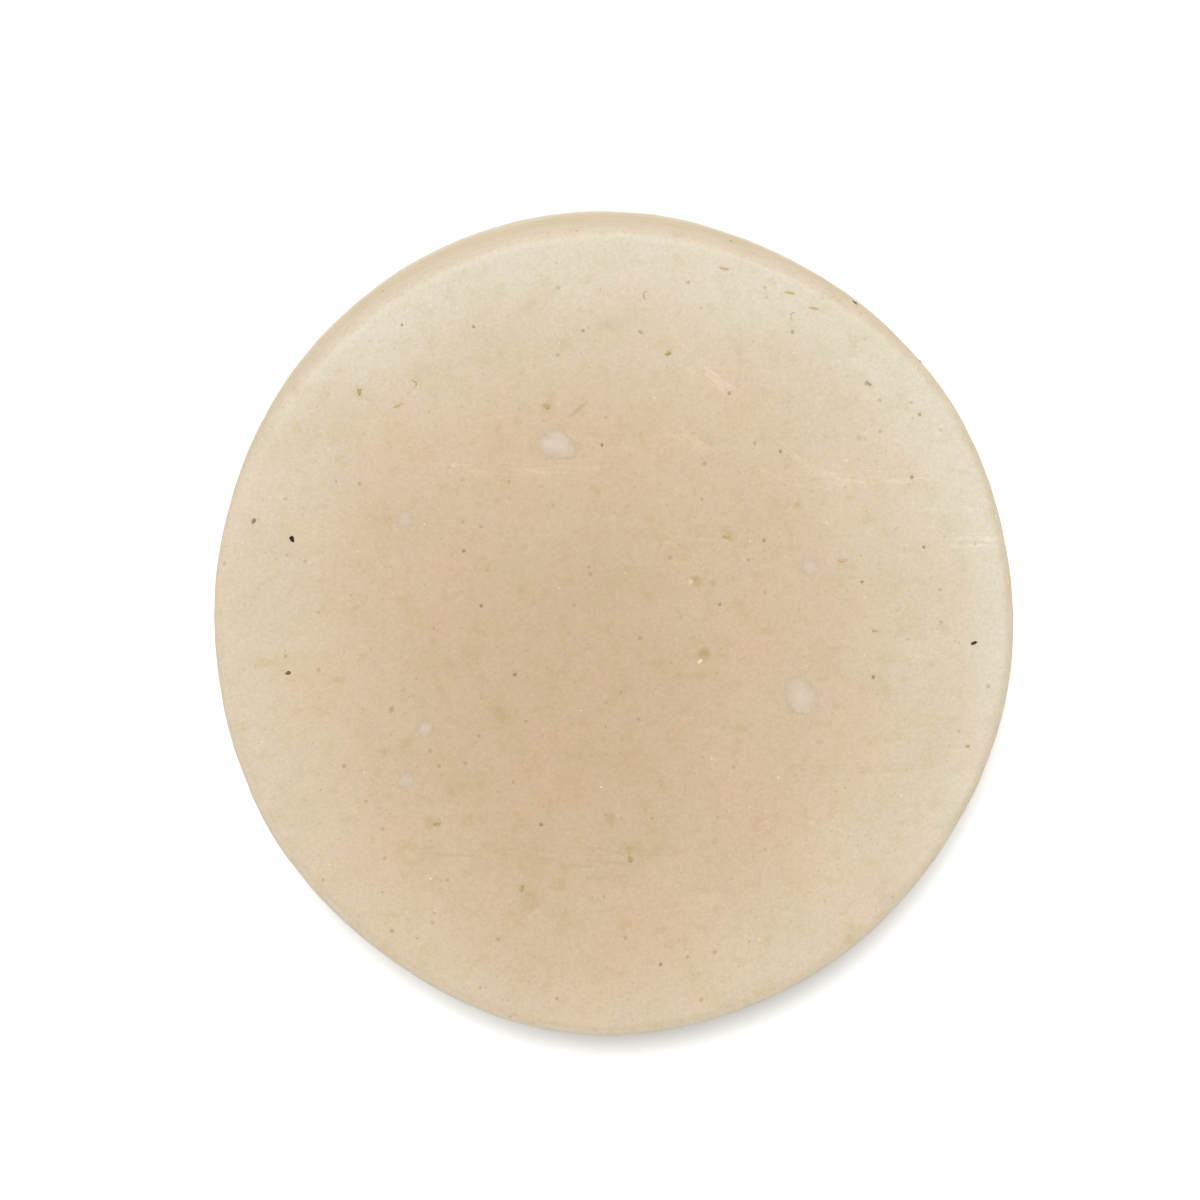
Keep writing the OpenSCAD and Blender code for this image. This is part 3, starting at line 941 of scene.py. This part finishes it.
def makeFibres():
    mesh = bmesh.new()
    for number, bit in enumerate(bitsOf("curled_fibres")):
        addFibre(mesh, bit, fibreLook["thick"], 1.3 * number)
    piece = finishBits("curledFibres", mesh, plainBitMaterial("plantFibre", fibreLook))
    settle(piece, "curled_fibres")


makeOliveBits()
makeAmberHusks()
makeFibres()
print("herb bits, husks and fibres made")

whiteLumps = {
    "core": (0.575, 0.50, 0.455, 1), "milk": (0.59, 0.53, 0.49, 1), "inner": -0.35, "outer": 1.05,
    "strength": 0.62, "ragged": 0.3, "swell": 0.02 * mm, "spread": 1.04,
}
pinkLumps = {
    "core": (0.565, 0.405, 0.345, 1), "milk": (0.58, 0.44, 0.38, 1), "inner": -0.3, "outer": 1.05,
    "strength": 0.75, "ragged": 0.3, "swell": 0.01 * mm, "spread": 1.3,
}


def lumpMaterial(name, look):
    # undissolved soap that fades into the tan round it
    material, tree, shader = newMaterial(name)
    skin = placeGroup(tree, soapSkin, {"Mottling": 1.0, "Dust": 0.5})
    point = pointInMm(tree)
    edge = addNode(tree, "Attribute", attribute_name="edgeShare").outputs["Fac"]
    drift = doMath(tree, "SUBTRACT", cloudNoise(tree, point, 0.9, 3.0, 17.0), 0.5)
    wander = doMath(tree, "MULTIPLY", drift, 0.9)
    mask = softStep(tree, doMath(tree, "ADD", edge, wander), look["outer"] - 0.1, look["inner"])
    mask = doMath(tree, "MULTIPLY", mask, softStep(tree, edge, 0.9, 0.6))
    core = blendColour(tree, cloudNoise(tree, point, 0.6, 3.0, 3.0), look["core"], look["milk"])
    colour = blendColour(tree, doMath(tree, "MULTIPLY", mask, look["strength"]), skin["Colour"], core)
    finishSoap(tree, shader, point, skin, colour)
    return material


def makeLumps(name, node, look, seed):
    def liftLump(share):
        return look["swell"] * (1 - share**2) ** 2 + (0.008 - 0.03 * share**2) * mm

    mesh = bmesh.new()
    layer = mesh.verts.layers.float.new("edgeShare")
    for number, bit in enumerate(bitsOf(node)):
        size = (bit["length"] * look["spread"], bit["width"] * look["spread"], bit["depth"] * 0.8)
        addLens(mesh, bit, size, look["ragged"], seed + number, 12, 48, liftLump, layer)
    piece = finishBits(name, mesh, lumpMaterial(name, look))
    settle(piece, node)


makeLumps("whiteSoapLumps", "white_soap_lumps", whiteLumps, 3.0)
makeLumps("pinkSoapLumps", "pink_soap_lumps", pinkLumps, 30.0)
print("soap lumps made")

saltLook = {
    "dark": (0.62, 0.54, 0.42, 1), "light": (0.86, 0.80, 0.70, 1), "grain": 0.2,
    "film": 0.4, "filmFrom": 0.55, "roughness": 0.35,
}


def makeSalt():
    mesh = bmesh.new()
    dice = np.random.default_rng(11)
    for bit in bitsOf("salt_crystals"):
        half = (bit["length"] * 0.5, bit["width"] * 0.42, bit["depth"] * 0.5)
        addCrystal(mesh, bitMatrix(bit, half[2] * 0.6), half, dice)
    piece = finishBits("saltCrystals", mesh, plainBitMaterial("saltCrystal", saltLook), False)
    settle(piece, "salt_crystals")


makeSalt()
print("salt made")

studio = {
    "floorSize": 4.0,
    "floorColour": (0.96, 0.96, 0.955, 1),
    "floorPatch": (0.97, 0.97, 0.97, 1),
    "floorDrop": 0.02 * mm,
    "ambient": 0.56,
    "backdrop": 1.02,  # how bright the surroundings look behind the object
    "keyPower": 2.62,
    "keySpread": 10.3,  # degrees across
    "keyTilt": 14.6,  # degrees from straight above
    "keyTurn": 103,
    "viewReach": 0.60,  # camera to the middle of the top face
    "viewTilt": 7.35,
    "viewTurn": 103.6,
    "fieldWidth": 0.1129,  # what the width of the view covers at the top face
    "aimX": -1.37 * mm,
    "aimY": 2.99 * mm,
}


def makeFloor():
    mesh = bmesh.new()
    bmesh.ops.create_grid(mesh, x_segments=8, y_segments=8, size=studio["floorSize"])
    material, tree, shader = newMaterial("paperFloor")
    paper = cloudNoise(tree, pointInMm(tree), 60.0, 2.0, 2.0)
    colour = blendColour(tree, paper, studio["floorColour"], studio["floorPatch"])
    joinIn(tree, colour, shader.inputs["Base Color"])
    shader.inputs["Roughness"].default_value = 0.9
    shader.inputs["Specular IOR Level"].default_value = 0.0
    floor = finishBits("floor", mesh, material)
    floor.location.z = -studio["floorDrop"]


def leaning(tilt, turn):
    # the direction that leans this many degrees from straight up, toward this turn
    tilt, turn = math.radians(tilt), math.radians(turn)
    return Vector((math.sin(tilt) * math.cos(turn), math.sin(tilt) * math.sin(turn), math.cos(tilt)))


def makeLight():
    world = bpy.data.worlds.new("studioLight")
    bpy.context.scene.world = world
    world.use_nodes = True
    tree = world.node_tree
    seen = addNode(tree, "LightPath").outputs["Is Camera Ray"]
    strength = doMath(tree, "MULTIPLY_ADD", seen, studio["backdrop"] - studio["ambient"])
    strength.node.inputs[2].default_value = studio["ambient"]
    background = tree.nodes["Background"]
    background.inputs["Color"].default_value = (1.0, 1.0, 1.0, 1)
    joinIn(tree, strength, background.inputs["Strength"])

    lamp = bpy.data.lights.new("softKey", "SUN")
    lamp.angle = math.radians(studio["keySpread"])
    lamp.energy = studio["keyPower"]
    key = bpy.data.objects.new("softKey", lamp)
    bpy.context.scene.collection.objects.link(key)
    away = leaning(studio["keyTilt"], studio["keyTurn"])
    key.rotation_euler = away.to_track_quat("Z", "Y").to_euler()


def makeCamera():
    data = bpy.data.cameras.new("camera")
    camera = bpy.data.objects.new("camera", data)
    bpy.context.scene.collection.objects.link(camera)
    face = Vector((0, 0, puckHeight))
    camera.location = face + leaning(studio["viewTilt"], studio["viewTurn"]) * studio["viewReach"]
    aim = face + Vector((studio["aimX"], studio["aimY"], 0))
    toward = (camera.location - aim).normalized()
    right = Vector((0, 1, 0)).cross(toward).normalized()
    axes = Matrix((right, toward.cross(right), toward)).transposed().to_4x4()
    camera.matrix_world = Matrix.Translation(camera.location) @ axes
    data.sensor_width = 36
    data.lens = data.sensor_width * studio["viewReach"] / studio["fieldWidth"]
    bpy.context.scene.camera = camera


makeFloor()
makeLight()
makeCamera()
bpy.context.scene.view_settings.view_transform = "Standard"
print("studio made")
